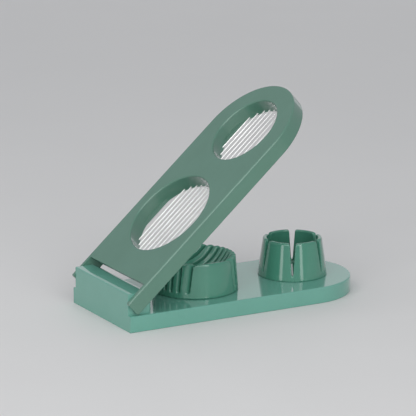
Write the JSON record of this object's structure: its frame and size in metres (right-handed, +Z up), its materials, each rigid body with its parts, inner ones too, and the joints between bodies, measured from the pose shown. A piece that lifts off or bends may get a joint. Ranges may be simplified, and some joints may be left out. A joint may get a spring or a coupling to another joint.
{
  "type": "egg slicer",
  "caption": "Hinged kitchen egg slicer: a tray with a slotted slicing cradle and a slotted wedge cup, under a lid with two wired openings.",
  "frame": {"origin": "on the table, under the middle of the box of the open slicer", "axes": "+X from the hinge end to the round end, +Y across, +Z up"},
  "size_m": [0.2034, 0.09, 0.1542],
  "materials": {
    "tray_plastic": "smooth moulded sage green",
    "cup_plastic": "smooth moulded deeper sage green",
    "lid_plastic": "smooth moulded sage green",
    "wire_steel": "bright drawn stainless wire",
    "rod_steel": "turned steel rod"
  },
  "bodies": {
    "base": {"base_shell": "tray_plastic", "slicing_cradle": "cup_plastic", "wedge_cup": "cup_plastic", "hinge_rod": "rod_steel"},
    "lid": {"lid_shell": "lid_plastic", "large_wire_ring": "lid_plastic", "small_wire_ring": "lid_plastic", "large_wire_1": "wire_steel", "large_wire_2": "wire_steel", "large_wire_3": "wire_steel", "large_wire_4": "wire_steel", "large_wire_5": "wire_steel", "large_wire_6": "wire_steel", "large_wire_7": "wire_steel", "large_wire_8": "wire_steel", "large_wire_9": "wire_steel", "large_wire_10": "wire_steel", "large_wire_11": "wire_steel", "small_wire_1": "wire_steel", "small_wire_2": "wire_steel", "small_wire_3": "wire_steel", "small_wire_4": "wire_steel", "small_wire_5": "wire_steel", "small_wire_6": "wire_steel", "small_wire_7": "wire_steel", "small_wire_8": "wire_steel", "small_wire_9": "wire_steel", "small_wire_10": "wire_steel", "small_wire_11": "wire_steel"}
  },
  "joints": [
    {"name": "lid_hinge", "type": "hinge", "parent": "base", "child": "lid", "pos_m": [-0.09268, 0, 0.022], "axis": [0, -1, 0], "range_deg": [-30.7, 58.8]}
  ]
}
